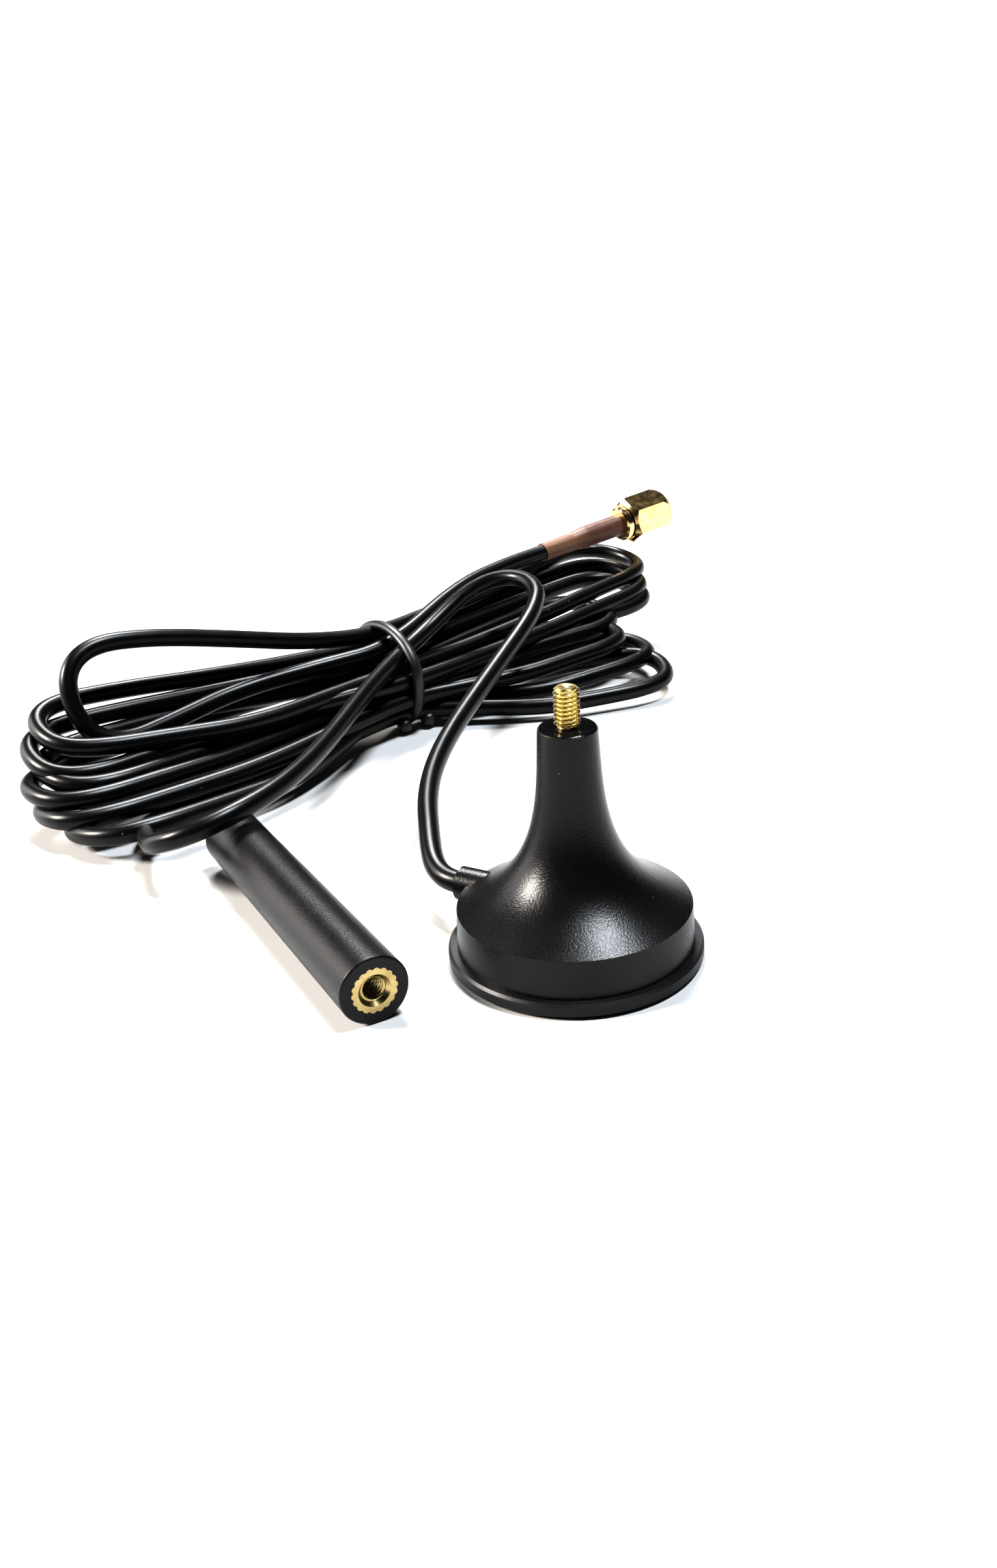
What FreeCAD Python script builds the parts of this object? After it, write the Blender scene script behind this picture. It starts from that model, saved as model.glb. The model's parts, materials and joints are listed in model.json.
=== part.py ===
"""Magnetic-base omnidirectional antenna, taken apart: base, unscrewed whip, coax lead with SMA plug.

Millimetres, +Z up. The origin is on the base's axis, in the plane of its foot. The whip lies on the
same surface in front of the hank of cable, and the plug lies on top of the hank.
"""
import FreeCAD
import Part
import math
import os

Vector = FreeCAD.Vector
Z_AXIS = Vector(0, 0, 1)

# Base: soft foot cup, magnet, steel plate and bell housing
FOOT_R = 15.0
FOOT_RIM_TOP = 1.9
FOOT_FLOOR = 0.9
FOOT_WALL_R = (11.6, 12.15)
FOOT_WALL_TOP = 3.4
MAGNET_R = 11.5
PLATE_R = 12.0
PLATE_T = 0.8
WASHER_R = (1.6, 4.5)
WASHER_T = 0.2
SKIRT_R = 13.95
RIM_R = 13.74
RIM_Z = 6.66
NECK_R = 3.4
NECK_TOP = 28.5
BELL_CURVE = [(11.4, 8.0), (8.0, 10.6), (6.2, 13.0), (4.9, 16.0), (3.95, 20.5)]
CAVITY = [(12.2, 5.4), (10.4, 7.3), (8.4, 8.8), (6.6, 10.6), (4.6, 13.2), (3.4, 15.6), (2.6, 18.4)]
CAVITY_TOP = 21.0

# Brass stud: thread M3 x 0.5
STUD_R = 1.5
STUD_TOP = 33.2
STUD_CHAMFER = 0.4
STUD_ROOT_R = 1.15
STUD_ROOT_TOP = 28.6
COLLAR_R = 2.2
COLLAR_Z = (22.5, 27.3)
TAIL_R = 0.9
TAIL_END = 6.3
TAIL_BORE_R = 1.6

# Cable: 2.8 mm coax, leaving the base through a side boss
CABLE_R = 1.4
BOSS_ANGLE = 152.0
BOSS_R = 2.1
BOSS_ROOT = 8.2
BOSS_END = 15.4
BOSS_Z = 5.9
JACKET_END = 7.5
CRIMP_RING = (7.8, 9.3)
BRAID_R = 0.45
DIELECTRIC_R = 0.75
CORE_R = 0.25

# Whip: lies on the floor, its open end towards the front
WHIP_START = Vector(-22.0, -14.2, 4.15)
WHIP_ANGLE = 120.2
WHIP_R = (4.15, 3.9)
WHIP_SEAM = 46.8
WHIP_LENGTH = 48.0
WHIP_BORE_R = 2.6
INSERT_R = 2.85
INSERT_LENGTH = 7.5
INSERT_TEETH = 18
THREAD_BORE_R = 1.25
THREAD_DEPTH = 6.0
COUNTERSINK_R = 1.95
FORMER_R = 1.55
WIRE_R = 0.3
COIL_R = 1.9
COIL_PITCH = 2.4
COIL_START = 10.0
COIL_LENGTH = 31.2

# Hank of cable and its tie
TIE_CENTRE = Vector(-30.5, 83.0, 0)
HANK_ANGLE = 34.0
TIE_T = 1.6
TIE_WIDTH = 1.8
NECK_HALF = (9.9, 6.6)
NECK_CENTRE_Z = TIE_T + NECK_HALF[1]
# Sections along the hank: distance from the tie, then the lowest and highest side offset and height
HANK_SECTIONS = [
    (-62, -19, -4, 4.0, 13.0),
    (-56, -28, 2, 1.0, 19.0),
    (-44, -28, 6, 0.6, 24.0),
    (-22, -15, 6, 1.0, 19.0),
    (-6, -NECK_HALF[0], NECK_HALF[0], TIE_T, NECK_CENTRE_Z + NECK_HALF[1]),
    (6, -NECK_HALF[0], NECK_HALF[0], TIE_T, NECK_CENTRE_Z + NECK_HALF[1]),
    (24, -18, 12, 0.8, 14.6),
    (42, -24, 18, 0.6, 16.0),
    (50, -18, 21, 1.0, 16.6),
    (61, 3, 20, 7.0, 16.6),
]

# Route of the lead beyond its first run out of the boss: S-bend in the air, through the top of the
# tie, down across the far end of the whip to the left turns of the hank
LEAD_FIRST_RUN = 3.2
LEAD_ROUTE = [
    (-18.1, 11.2, 6.1),
    (-18.7, 14.6, 6.6),
    (-18.9, 19.2, 7.4),
    (-18.9, 26.5, 8.5),
    (-18.5, 34.8, 9.6),
    (-16.6, 44.5, 11.1),
    (-13.3, 55.5, 13.1),
    (-9.5, 65.6, 15.4),
    (-6.3, 73.4, 17.5),
    (-4.6, 78.8, 19.0),
    (-4.0, 84.6, 20.3),
    (-6.4, 90.4, 21.0),
    (-11.4, 93.0, 20.6),
    (-16.4, 91.6, 18.8),
    (-20.5, 87.8, 16.0),
    (-23.8, 83.6, 13.9),
    (-27.0, 77.0, 12.7),
    (-29.9, 67.0, 12.0),
    (-32.2, 55.6, 11.6),
    (-34.3, 45.2, 11.0),
    (-36.4, 35.6, 10.8),
    (-39.6, 26.8, 10.6),
    (-44.2, 20.2, 10.2),
    (-49.6, 17.2, 8.9),
    (-54.2, 19.0, 6.9),
    (-56.8, 24.2, 5.0),
    (-58.6, 30.8, 3.6),
]

# Plug: SMA, on the hank, its axis following the last run of the tail
PLUG_START = Vector(-3.4, 118.0, 18.3)
PLUG_AXIS = Vector(0.797, 0.595, 0.103).normalize()
SLEEVE_LENGTH = 18.6
SLEEVE_R = (1.7, 2.05)
FERRULE = (9.5, 18.6, 1.75)
BODY_START = 18.6
BODY_COLLAR = (20.0, 3.2)
HUB_R = 2.4
NUT = (20.2, 29.8)
HEX_FLATS = 8.0
HEX_CORNER_R = HEX_FLATS / math.sqrt(3)
NUT_PROFILE = [(3.5, 20.2), (HEX_CORNER_R, 21.1), (HEX_CORNER_R, 27.4), (4.3, 28.4), (3.8, 29.2), (3.3, 29.8)]
NUT_THREAD_R = 2.8
NUT_SHELF = 22.4
INTERFACE_R = (2.05, 2.3)
PIN_R = 0.46
TAIL_ROUTE = [
    Vector(-27.0, 88.5, 12.6),
    Vector(-20.5, 100.0, 15.4),
    PLUG_START - PLUG_AXIS * 6.5,
    PLUG_START + PLUG_AXIS * FERRULE[0],
]

parts = {}


def direction(angle):
    """Level unit vector at an angle, in degrees, from +X."""
    return Vector(math.cos(math.radians(angle)), math.sin(math.radians(angle)), 0)


def rod(radius, start, axis, low, high):
    """Round bar along an axis, between two distances from start."""
    return Part.makeCylinder(radius, high - low, start + axis * low, axis)


def tube(outer, inner, start, axis, low, high):
    """Round tube along an axis, between two distances from start."""
    return rod(outer, start, axis, low, high).cut(rod(inner, start, axis, low - 1, high + 1))


def revolve(points):
    """Solid of revolution about Z, from the corners of its half section (radius, height)."""
    corners = [Vector(r, 0, z) for r, z in points]
    face = Part.Face(Part.makePolygon(corners + corners[:1]))
    return face.revolve(Vector(0, 0, 0), Z_AXIS, 360)


def place(shape, start, axis):
    """Move a shape made along +Z from the origin so that it runs along axis from start."""
    shape.Placement = FreeCAD.Placement(start, FreeCAD.Rotation(Z_AXIS, axis))
    return shape


def cord(name, points, radius):
    """Round cord along straight runs joined by arcs as large as the runs allow."""
    points = [Vector(p) for p in points]
    edges = []
    radii = []
    here = points[0]
    for before, corner, after in zip(points, points[1:], points[2:]):
        run_in = corner - before
        run_out = after - corner
        reach = 0.45 * min(run_in.Length, run_out.Length)
        turn = run_in.getAngle(run_out)
        radii.append(reach / math.tan(turn / 2))
        arc_start = corner - run_in.normalize() * reach
        arc_end = corner + run_out.normalize() * reach
        bisector = (arc_start + arc_end) * 0.5 - corner
        middle = corner + bisector.normalize() * radii[-1] * (1 / math.cos(turn / 2) - 1)
        edges.append(Part.LineSegment(here, arc_start).toShape())
        edges.append(Part.Arc(arc_start, middle, arc_end).toShape())
        here = arc_end
    edges.append(Part.LineSegment(here, points[-1]).toShape())
    path = Part.Wire(edges)
    ring = Part.Wire(Part.makeCircle(radius, points[0], points[1] - points[0]))
    solid = path.makePipeShell([ring], True, False)
    expected = math.pi * radius ** 2 * path.Length
    print(name, "length", round(path.Length, 1), "volume ratio", round(solid.Volume / expected, 4),
          "radii", [round(r, 1) for r in radii])
    return solid


def make_base():
    """Foot cup, magnet, pole plate, ground washer and bell housing with its cable boss."""
    inner_r, outer_r = FOOT_WALL_R
    cup = revolve([(0, 0), (FOOT_R - 0.5, 0), (FOOT_R, 0.5), (FOOT_R, FOOT_RIM_TOP - 0.3),
                   (FOOT_R - 0.3, FOOT_RIM_TOP), (outer_r, FOOT_RIM_TOP), (outer_r, FOOT_WALL_TOP),
                   (inner_r, FOOT_WALL_TOP), (inner_r, FOOT_FLOOR), (0, FOOT_FLOOR)])
    parts["foot_cup"] = cup
    origin = Vector(0, 0, 0)
    parts["magnet"] = rod(MAGNET_R, origin, Z_AXIS, FOOT_FLOOR, FOOT_WALL_TOP)
    plate_top = FOOT_WALL_TOP + PLATE_T
    parts["pole_plate"] = rod(PLATE_R, origin, Z_AXIS, FOOT_WALL_TOP, plate_top)
    parts["ground_washer"] = tube(WASHER_R[1], WASHER_R[0], origin, Z_AXIS, plate_top, plate_top + WASHER_T)
    parts["base_housing"] = make_housing()


def make_housing():
    """Bell shell: straight skirt, concave flank, straight neck, hollow inside, with the side boss."""
    flank = [Vector(RIM_R, 0, RIM_Z)] + [Vector(r, 0, z) for r, z in BELL_CURVE]
    flank.append(Vector(NECK_R, 0, NECK_TOP - 0.2))
    curve = Part.BSplineCurve()
    curve.interpolate(flank)
    outline = [Vector(NECK_R, 0, NECK_TOP - 0.2), Vector(NECK_R - 0.2, 0, NECK_TOP), Vector(0, 0, NECK_TOP),
               Vector(0, 0, FOOT_RIM_TOP), Vector(SKIRT_R, 0, FOOT_RIM_TOP), Vector(RIM_R, 0, RIM_Z)]
    edges = [curve.toShape()] + [Part.LineSegment(p, q).toShape() for p, q in zip(outline, outline[1:])]
    bell = Part.Face(Part.Wire(edges)).revolve(Vector(0, 0, 0), Z_AXIS, 360)
    boss_axis = direction(BOSS_ANGLE)
    boss_start = Vector(0, 0, BOSS_Z)
    boss = rod(BOSS_R, boss_start, boss_axis, BOSS_ROOT, BOSS_END)
    bell = bell.fuse(boss)
    cavity = [(0, FOOT_RIM_TOP - 1), (CAVITY[0][0], FOOT_RIM_TOP - 1)] + CAVITY
    cavity += [(TAIL_BORE_R, CAVITY_TOP), (TAIL_BORE_R, COLLAR_Z[0]), (0, COLLAR_Z[0])]
    bell = bell.cut(revolve(cavity))
    bell = bell.cut(rod(COLLAR_R, Vector(0, 0, 0), Z_AXIS, COLLAR_Z[0] - 0.1, COLLAR_Z[1]))
    bell = bell.cut(rod(STUD_ROOT_R, Vector(0, 0, 0), Z_AXIS, COLLAR_Z[1] - 1, NECK_TOP + 1))
    return bell.cut(rod(CABLE_R, boss_start, boss_axis, JACKET_END, BOSS_END + 1))


def make_stud():
    """Brass stud: threaded end above the neck, knurled collar in the neck, tail down to the cable."""
    low, high = COLLAR_Z
    stud = revolve([(0, TAIL_END), (TAIL_R, TAIL_END), (TAIL_R, low), (COLLAR_R, low), (COLLAR_R, high),
                    (STUD_ROOT_R, high), (STUD_ROOT_R, STUD_ROOT_TOP), (STUD_R, STUD_ROOT_TOP),
                    (STUD_R, STUD_TOP - STUD_CHAMFER), (STUD_R - STUD_CHAMFER, STUD_TOP), (0, STUD_TOP)])
    for i in range(16):
        groove = direction(i * 360 / 16) * COLLAR_R
        stud = stud.cut(rod(0.15, groove, Z_AXIS, low + 0.6, high - 0.6))
    parts["threaded_stud"] = stud


def make_cable_end():
    """Stripped end of the coax in the base: jacket, crimp ring, braid tail, dielectric, core, solder."""
    axis = direction(BOSS_ANGLE)
    start = Vector(0, 0, BOSS_Z)
    side = Z_AXIS.cross(axis)
    braid_start = start + side * 0.95 + Z_AXIS * -1.05
    core = rod(CORE_R, start, axis, 0, BOSS_END)
    dielectric = rod(DIELECTRIC_R, start, axis, 3.0, BOSS_END).cut(core)
    jacket = rod(CABLE_R, start, axis, JACKET_END, BOSS_END)
    parts["coax_jacket_end"] = jacket.cut(rod(DIELECTRIC_R, start, axis, 0, BOSS_END + 1))
    parts["coax_dielectric"] = dielectric
    parts["coax_core"] = core
    parts["cable_crimp_ring"] = tube(CABLE_R + 0.25, CABLE_R, start, axis, CRIMP_RING[0], CRIMP_RING[1])
    parts["coax_braid_tail"] = rod(BRAID_R, braid_start, axis, 3.2, JACKET_END)
    blob = Part.makeSphere(1.2, Vector(0, 0, TAIL_END + 0.1))
    blob = blob.cut(rod(TAIL_R, Vector(0, 0, 0), Z_AXIS, TAIL_END, TAIL_END + 3))
    parts["stud_solder_joint"] = blob.cut(core).cut(dielectric)


def make_whip():
    """Unscrewed whip: tapered tube, knurled brass insert, helical radiator on its former, pad and cap."""
    axis = direction(WHIP_ANGLE)
    near_r, far_r = WHIP_R
    seam_r = near_r + (far_r - near_r) * WHIP_SEAM / WHIP_LENGTH
    knurl = Part.makeCylinder(INSERT_R, INSERT_LENGTH)
    for i in range(INSERT_TEETH):
        groove = direction(i * 360 / INSERT_TEETH) * (INSERT_R + 0.12)
        knurl = knurl.cut(rod(0.3, groove, Z_AXIS, -1, INSERT_LENGTH + 1))
    bore = rod(THREAD_BORE_R, Vector(0, 0, 0), Z_AXIS, -1, THREAD_DEPTH)
    mouth_depth = COUNTERSINK_R - THREAD_BORE_R
    mouth = Part.makeCone(COUNTERSINK_R, THREAD_BORE_R, mouth_depth)
    tube_body = Part.makeCone(near_r, seam_r, WHIP_SEAM)
    edge = [e for e in tube_body.Edges if isinstance(e.Curve, Part.Circle) and abs(e.Curve.Center.z) < 0.01]
    tube_body = tube_body.makeFillet(0.3, edge)
    tube_body = tube_body.cut(knurl)
    tube_body = tube_body.cut(rod(WHIP_BORE_R, Vector(0, 0, 0), Z_AXIS, INSERT_LENGTH, WHIP_SEAM + 1))
    cap = Part.makeCone(seam_r, far_r, WHIP_LENGTH - WHIP_SEAM)
    edge = [e for e in cap.Edges if isinstance(e.Curve, Part.Circle) and e.Curve.Center.z > 0.5]
    cap = cap.makeFillet(0.8, edge)
    cap.translate(Vector(0, 0, WHIP_SEAM))
    cap = cap.fuse(rod(WHIP_BORE_R, Vector(0, 0, 0), Z_AXIS, WHIP_SEAM - 2.6, WHIP_SEAM))
    coil_end = COIL_START + COIL_LENGTH
    whip = {
        "whip_tube": tube_body,
        "whip_insert": knurl.cut(bore).cut(mouth),
        "whip_cap": cap,
        "coil_former": rod(FORMER_R, Vector(0, 0, 0), Z_AXIS, INSERT_LENGTH, coil_end - 1.0),
        "tip_pad": rod(WHIP_BORE_R - 0.1, Vector(0, 0, 0), Z_AXIS, coil_end + 0.4, WHIP_SEAM - 2.6),
        "radiator_lead": rod(WIRE_R, Vector(COIL_R, 0, 0), Z_AXIS, INSERT_LENGTH, COIL_START),
        "radiator_helix": make_helix(),
    }
    for name, shape in whip.items():
        parts[name] = place(shape, WHIP_START, axis)


def make_helix():
    """Copper radiator wire wound as a helix along +Z."""
    helix = Part.makeHelix(COIL_PITCH, COIL_LENGTH, COIL_R)
    helix.translate(Vector(0, 0, COIL_START))
    lead = Vector(0, 2 * math.pi * COIL_R, COIL_PITCH)
    ring = Part.Wire(Part.makeCircle(WIRE_R, Vector(COIL_R, 0, COIL_START), lead))
    return Part.Wire(helix).makePipeShell([ring], True, True)


def make_hank():
    """Outer shape of the tied hank, and the tie round its neck."""
    along = direction(HANK_ANGLE)
    side = Z_AXIS.cross(along)
    rings = []
    for distance, side_low, side_high, low, high in HANK_SECTIONS:
        centre = TIE_CENTRE + along * distance + side * (side_low + side_high) / 2 + Z_AXIS * (low + high) / 2
        rings.append(ellipse_wire(centre, along, side, (side_high - side_low) / 2, (high - low) / 2))
    parts["cable_hank"] = Part.makeLoft(rings, True, True)
    centre = TIE_CENTRE + Z_AXIS * NECK_CENTRE_Z - along * TIE_WIDTH / 2
    half_width, half_height = NECK_HALF
    outer = Part.Face(ellipse_wire(centre, along, side, half_width + TIE_T, half_height + TIE_T))
    inner = Part.Face(ellipse_wire(centre, along, side, half_width, half_height))
    parts["cable_tie"] = outer.extrude(along * TIE_WIDTH).cut(inner.extrude(along * TIE_WIDTH))


def ellipse_wire(centre, normal, side, half_width, half_height):
    """Ellipse in the plane square to normal, half_width along side and half_height along Z."""
    if half_width >= half_height:
        curve = Part.Ellipse(centre + side * half_width, centre + Z_AXIS * half_height, centre)
    else:
        curve = Part.Ellipse(centre + Z_AXIS * half_height, centre - side * half_width, centre)
    return Part.Wire(curve.toShape())


def make_plug():
    """SMA plug: shrink sleeve, crimp ferrule, body, insulator, pin, snap ring, gasket and hex nut."""
    start = PLUG_START
    axis = PLUG_AXIS
    thin, thick = SLEEVE_R
    profile = [(CABLE_R, 0), (thin, 0), (thin, 7.0), (thick, 10.0), (thick, SLEEVE_LENGTH),
               (FERRULE[2], SLEEVE_LENGTH), (FERRULE[2], FERRULE[0]), (CABLE_R, FERRULE[0])]
    parts["shrink_sleeve"] = place(revolve(profile), start, axis)
    parts["crimp_ferrule"] = tube(FERRULE[2], DIELECTRIC_R + 0.35, start, axis, FERRULE[0], FERRULE[1])
    collar_end, collar_r = BODY_COLLAR
    shelf = NUT_SHELF
    body = [(0.7, BODY_START), (collar_r - 0.3, BODY_START), (collar_r, BODY_START + 0.3),
            (collar_r, collar_end), (HUB_R, collar_end), (HUB_R, shelf - 1.2), (HUB_R - 0.3, shelf - 1.2),
            (HUB_R - 0.3, shelf - 0.6), (HUB_R, shelf - 0.6), (HUB_R, shelf), (INTERFACE_R[1], shelf),
            (INTERFACE_R[1], NUT[1] - 1.6), (INTERFACE_R[0], NUT[1] - 1.6), (INTERFACE_R[0], shelf - 1.0),
            (0.7, shelf - 1.0)]
    parts["plug_body"] = place(revolve(body), start, axis)
    parts["plug_insulator"] = tube(INTERFACE_R[0], PIN_R, start, axis, shelf - 1.0, NUT[1] - 2.0)
    pin = rod(PIN_R, start, axis, BODY_START + 0.4, NUT[1] - 1.4)
    parts["plug_pin"] = pin.fuse(Part.makeCone(PIN_R, 0.2, 0.6, start + axis * (NUT[1] - 1.4), axis))
    snap = tube(HUB_R + 0.28, HUB_R - 0.3, start, axis, shelf - 1.15, shelf - 0.65)
    parts["snap_ring"] = snap
    parts["plug_gasket"] = tube(NUT_THREAD_R + 0.2, HUB_R + 0.05, start, axis, shelf + 0.1, shelf + 0.8)
    nut = hexagon_nut()
    nut = nut.cut(rod(HUB_R + 0.05, Vector(0, 0, 0), Z_AXIS, NUT[0] - 1, NUT[1] + 1))
    nut = nut.cut(rod(NUT_THREAD_R, Vector(0, 0, 0), Z_AXIS, shelf + 0.1, NUT[1] + 1))
    nut = nut.cut(rod(NUT_THREAD_R + 0.25, Vector(0, 0, 0), Z_AXIS, shelf - 1.25, shelf + 0.85))
    parts["coupling_nut"] = place(nut, start, axis)


def hexagon_nut():
    """Hexagonal bar along +Z with a bevelled rear end and a rounded nose."""
    low, high = NUT
    corners = [direction(30 + 60 * i) * HEX_CORNER_R + Z_AXIS * low for i in range(7)]
    bar = Part.Face(Part.makePolygon(corners)).extrude(Z_AXIS * (high - low))
    return bar.common(revolve([(0, low)] + NUT_PROFILE + [(0, high)]))


make_base()
make_stud()
make_cable_end()
make_whip()
lead_start = [direction(BOSS_ANGLE) * r + Z_AXIS * BOSS_Z for r in (BOSS_END, BOSS_END + LEAD_FIRST_RUN)]
parts["cable_lead"] = cord("cable_lead", lead_start + LEAD_ROUTE, CABLE_R)
make_hank()
parts["cable_tail"] = cord("cable_tail", TAIL_ROUTE, CABLE_R)
make_plug()

os.makedirs("parts", exist_ok=True)
for name, shape in parts.items():
    solid = shape.Solids[0] if len(shape.Solids) == 1 else shape
    if not solid.isValid() or len(shape.Solids) != 1:
        print("CHECK", name, solid.isValid(), len(shape.Solids))
    solid.exportStep("parts/" + name + ".step")
print(len(parts), "parts")
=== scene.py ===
"""Looks of a small magnetic-base antenna taken apart: base, unscrewed whip and tied coax lead.

Everything is in metres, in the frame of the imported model: +Z up, origin on the base's axis at its foot.
"""
import json
import math

import bmesh
import bpy
from mathutils import Matrix, Vector


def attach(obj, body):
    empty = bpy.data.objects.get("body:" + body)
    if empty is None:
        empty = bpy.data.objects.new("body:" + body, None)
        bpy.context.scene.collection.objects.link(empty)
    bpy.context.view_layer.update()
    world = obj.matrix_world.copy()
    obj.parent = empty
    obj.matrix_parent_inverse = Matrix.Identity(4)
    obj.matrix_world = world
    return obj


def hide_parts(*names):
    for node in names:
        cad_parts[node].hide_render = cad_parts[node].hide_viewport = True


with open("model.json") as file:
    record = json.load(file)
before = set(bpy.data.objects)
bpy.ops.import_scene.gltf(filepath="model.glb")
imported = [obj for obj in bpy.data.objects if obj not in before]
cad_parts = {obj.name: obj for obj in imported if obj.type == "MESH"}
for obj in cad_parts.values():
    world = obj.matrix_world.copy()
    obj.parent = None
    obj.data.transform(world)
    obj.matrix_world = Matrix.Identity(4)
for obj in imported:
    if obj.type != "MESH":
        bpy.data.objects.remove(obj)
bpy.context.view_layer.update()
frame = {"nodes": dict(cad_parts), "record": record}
NODES = frame["nodes"]
UP = Vector((0, 0, 1))
ORIGIN = Vector((0, 0, 0))

# Camera: above and in front of the base
CAMERA_AT = (0.0, -0.14758, 0.08559)
CAMERA_PAN = math.radians(-3.096)
CAMERA_DOWN = math.radians(23.308)
CAMERA_ROLL = math.radians(-3.449)
CAMERA_LENS = 32.86
CAMERA_CLIP = (0.005, 20)

# Lights: direction from the object, width across in degrees, strength, colour
LIGHTS = {
    "right_softbox": ((0.28, 0.02, 0.96), 12, 5.4, (0.90, 0.95, 1.0)),
    "left_softbox": ((-0.84, -0.04, 0.54), 15, 9.0, (1.0, 0.94, 0.87)),
    "left_panel": ((-0.88, 0.36, 0.30), 36, 1.3, (1.0, 0.97, 0.95)),
    "back_softbox": ((-0.10, 0.62, 0.78), 22, 5.4, (0.97, 0.98, 1.0)),
}
# Surround: white round the horizon, dark overhead
SURROUND_BRIGHT = 1.0
SURROUND_DARK = 0.03
SURROUND_PALE = 0.36
SURROUND_TURN = (0.35, 0.75)
SURROUND_EDGE = (0.10, 0.18)
FLOOR_SIZE = 40.0
VIEW_EXPOSURE = 0.2
VIEW_GAMMA = 0.82

# Cable: one coax from the boss of the base to the plug
CABLE_D = 0.0028
CORD_ROUND_STEPS = 6
CABLE_STEPS = 10
TIE_STEPS = 12
BOSS_ANGLE = math.radians(152.0)
BOSS_END = 0.0154
BOSS_Z = 0.0059
LEAD_FIRST_RUN = 0.0012
LEAD_ROUTE = [
    (-0.0161, 0.0093, 0.0060),
    (-0.0171, 0.0114, 0.0063),
    (-0.0177, 0.0140, 0.0068),
    (-0.0183, 0.0188, 0.0076),
    (-0.0191, 0.0265, 0.0086),
    (-0.0188, 0.0348, 0.0097),
    (-0.0169, 0.0445, 0.0111),
    (-0.0133, 0.0555, 0.0131),
    (-0.0095, 0.0656, 0.0154),
    (-0.0063, 0.0734, 0.0175),
    (-0.0046, 0.0788, 0.0190),
    (-0.0040, 0.0846, 0.0203),
    (-0.0064, 0.0904, 0.0210),
    (-0.0114, 0.0930, 0.0206),
    (-0.0164, 0.0916, 0.0188),
    (-0.0205, 0.0878, 0.0160),
    (-0.0238, 0.0836, 0.0139),
    (-0.0270, 0.0770, 0.0127),
    (-0.0299, 0.0670, 0.0120),
    (-0.0322, 0.0556, 0.0116),
    (-0.0343, 0.0452, 0.0110),
    (-0.0364, 0.0356, 0.0108),
    (-0.0396, 0.0268, 0.0106),
    (-0.0442, 0.0202, 0.0102),
    (-0.0494, 0.0172, 0.0089),
    (-0.0545, 0.0192, 0.0069),
    (-0.0568, 0.0242, 0.0050),
]

# Hank: the places in the tie, side offset and height, in the order the cable goes through them after
# its first left turn. Every other one is a front strand.
TIE_CENTRE = Vector((-0.0305, 0.0830, 0))
TIE_FLATNESS = 0.25
HANK_ALONG = Vector((math.cos(math.radians(34)), math.sin(math.radians(34)), 0))
HANK_SIDE = Vector((-HANK_ALONG.y, HANK_ALONG.x, 0))
PASSES = [
    (-0.0072, 0.0029),
    (0.0062, 0.0034),
    (-0.0028, 0.0030),
    (0.0018, 0.0030),
    (-0.0090, 0.0056),
    (0.0076, 0.0064),
    (-0.0046, 0.0062),
    (0.0044, 0.0063),
    (-0.0014, 0.0061),
    (0.0038, 0.0094),
    (-0.0096, 0.0086),
    (0.0068, 0.0106),
    (-0.0058, 0.0094),
    (0.0024, 0.0137),
    (-0.0024, 0.0124),
]
# Turns: apex, half the gap between the two strands, tilt of the gap in degrees (back strand higher), and
# how far the front and the back strand bow towards the front on their way to the tie
LEFT_TURNS = [
    ((-0.0582, 0.0284, 0.0036), 0.0070, -12, 0.0015, 0.0005),
    ((-0.0672, 0.0307, 0.0032), 0.0083, -8, 0.0056, 0.0012),
    ((-0.0740, 0.0352, 0.0042), 0.0078, -6, 0.0026, 0.0),
    ((-0.0761, 0.0377, 0.0066), 0.0078, 0, 0.0022, -0.0008),
    ((-0.0750, 0.0406, 0.0083), 0.0078, 6, 0.0010, -0.0015),
    ((-0.0777, 0.0429, 0.0100), 0.0078, 12, -0.0018, 0.0),
    ((-0.0771, 0.0464, 0.0128), 0.0078, 12, 0.0048, 0.0010),
    ((-0.0734, 0.0505, 0.0160), 0.0079, 62, -0.0038, 0.0),
]
RIGHT_TURNS = [
    ((0.0172, 0.0918, 0.0034), 0.0078, 5, 0.0034, 0.0030),
    ((0.0140, 0.1012, 0.0044), 0.0078, 0, 0.0048, 0.0),
    ((0.0086, 0.1031, 0.0070), 0.0078, 0, 0.0020, 0.0),
    ((0.0068, 0.1120, 0.0085), 0.0078, 5, 0.0, 0.0),
    ((0.0132, 0.1226, 0.0097), 0.0078, 8, 0.0, 0.0),
    ((0.0124, 0.1253, 0.0117), 0.0078, 10, 0.0010, 0.0),
    ((0.0117, 0.1301, 0.0138), 0.0082, 8, 0.0010, 0.0010),
]
BOW_SHARES = (0.35, 1.0, 0.5)
BOW_DROP = 0.15
TURN_STEPS = (0.25, 0.55, 0.8)
TURN_LENGTH = 0.65
TURN_CORNER = 0.52
FRONT = -1
BACK = 1

# Plug and the last stretch of cable
PLUG_START = Vector((-0.0034, 0.1180, 0.0183))
PLUG_AXIS = Vector((0.797, 0.595, 0.103)).normalized()
CABLE_INTO_SLEEVE = 0.0094
TAIL_ROUTE = [(-0.0190, 0.1015, 0.0166), (-0.0110, 0.1112, 0.0177)]

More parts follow.
